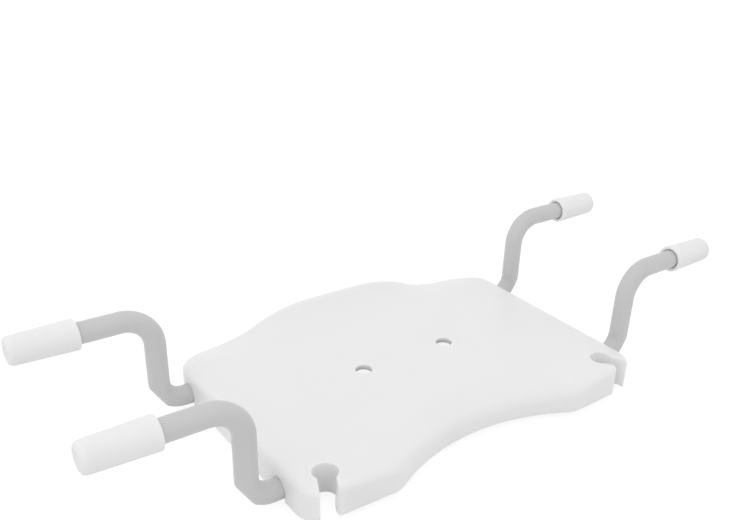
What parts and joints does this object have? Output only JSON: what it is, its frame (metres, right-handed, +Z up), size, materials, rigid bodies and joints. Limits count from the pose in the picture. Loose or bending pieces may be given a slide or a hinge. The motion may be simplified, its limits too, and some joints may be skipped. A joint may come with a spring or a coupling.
{
  "type": "bath seat",
  "caption": "Moulded seat board on bent steel tubes with soft grips that lie on the rims of a bath, with a leg cut-out, drain holes and notches for a hand shower.",
  "frame": {"origin": "under the middle of the seat, level with the flat feet of the clips", "axes": "+X along the tubes from the left rim of the bath to the right one as seen from the front, -Y towards the sitter's knees, +Y towards the raised lip at the back, +Z up"},
  "size_m": [0.745, 0.294, 0.13],
  "materials": {
    "board_plastic": "white injection-moulded plastic, satin gloss",
    "tube_paint": "light grey powder coat on steel tube",
    "grip_plastic": "soft white vinyl sleeve, matt",
    "clip_plastic": "white moulded plastic",
    "screw_steel": "zinc-plated steel"
  },
  "bodies": {
    "root": {"seat_board": "board_plastic", "front_tube": "tube_paint", "rear_tube": "tube_paint", "front_left_grip": "grip_plastic", "front_right_grip": "grip_plastic", "rear_left_grip": "grip_plastic", "rear_right_grip": "grip_plastic", "front_left_clip": "clip_plastic", "front_right_clip": "clip_plastic", "rear_left_clip": "clip_plastic", "rear_right_clip": "clip_plastic", "front_left_outer_screw": "screw_steel", "front_left_inner_screw": "screw_steel", "front_right_outer_screw": "screw_steel", "front_right_inner_screw": "screw_steel", "rear_left_outer_screw": "screw_steel", "rear_left_inner_screw": "screw_steel", "rear_right_outer_screw": "screw_steel", "rear_right_inner_screw": "screw_steel"}
  },
  "joints": []
}
